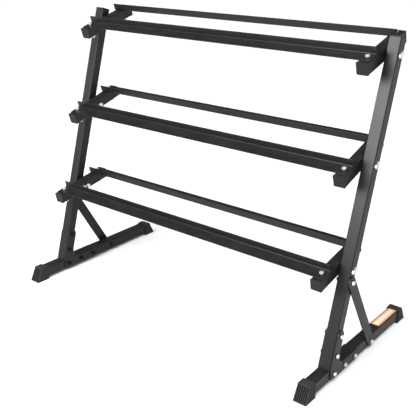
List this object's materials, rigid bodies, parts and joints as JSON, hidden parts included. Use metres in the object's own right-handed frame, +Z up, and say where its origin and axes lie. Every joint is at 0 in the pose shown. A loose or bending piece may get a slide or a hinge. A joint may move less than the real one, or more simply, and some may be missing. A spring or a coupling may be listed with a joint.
{
  "type": "dumbbell rack",
  "caption": "Three-tier steel dumbbell rack: two leaning tube side frames, sloping shelf arms and angle rails, on rubber-capped feet.",
  "frame": {"origin": "on the floor, at the centre of the footprint", "axes": "+X along the shelves, +Y from the front to the back, +Z up"},
  "size_m": [1.3144, 0.6782, 1.0543],
  "materials": {
    "paint": "satin black powder coat",
    "rubber": "matte moulded rubber",
    "plastic": "fine-grained moulded plastic",
    "zinc": "bright zinc plating",
    "label": "satin vinyl sticker"
  },
  "bodies": {
    "root": {"left_upright": "paint", "left_upright_cap": "plastic", "left_foot": "paint", "left_foot_cap_front": "rubber", "left_foot_cap_rear": "rubber", "left_gusset_outer": "paint", "left_gusset_inner": "paint", "left_brace": "paint", "right_upright": "paint", "right_upright_cap": "plastic", "right_foot": "paint", "right_foot_cap_front": "rubber", "right_foot_cap_rear": "rubber", "right_gusset_outer": "paint", "right_gusset_inner": "paint", "right_brace": "paint", "bottom_arm_left": "paint", "bottom_arm_cap_front_left": "plastic", "bottom_arm_cap_rear_left": "plastic", "bottom_arm_bolt_left": "zinc", "bottom_rail_bolt_front_left": "zinc", "bottom_rail_bolt_rear_left": "zinc", "bottom_arm_right": "paint", "bottom_arm_cap_front_right": "plastic", "bottom_arm_cap_rear_right": "plastic", "bottom_arm_bolt_right": "zinc", "bottom_rail_bolt_front_right": "zinc", "bottom_rail_bolt_rear_right": "zinc", "bottom_rail_front": "paint", "bottom_rail_rear": "paint", "middle_arm_left": "paint", "middle_arm_cap_front_left": "plastic", "middle_arm_cap_rear_left": "plastic", "middle_arm_bolt_left": "zinc", "middle_rail_bolt_front_left": "zinc", "middle_rail_bolt_rear_left": "zinc", "middle_arm_right": "paint", "middle_arm_cap_front_right": "plastic", "middle_arm_cap_rear_right": "plastic", "middle_arm_bolt_right": "zinc", "middle_rail_bolt_front_right": "zinc", "middle_rail_bolt_rear_right": "zinc", "middle_rail_front": "paint", "middle_rail_rear": "paint", "top_arm_left": "paint", "top_arm_cap_front_left": "plastic", "top_arm_cap_rear_left": "plastic", "top_arm_bolt_left": "zinc", "top_rail_bolt_front_left": "zinc", "top_rail_bolt_rear_left": "zinc", "top_arm_right": "paint", "top_arm_cap_front_right": "plastic", "top_arm_cap_rear_right": "plastic", "top_arm_bolt_right": "zinc", "top_rail_bolt_front_right": "zinc", "top_rail_bolt_rear_right": "zinc", "top_rail_front": "paint", "top_rail_rear": "paint", "foot_label": "label"}
  },
  "joints": []
}
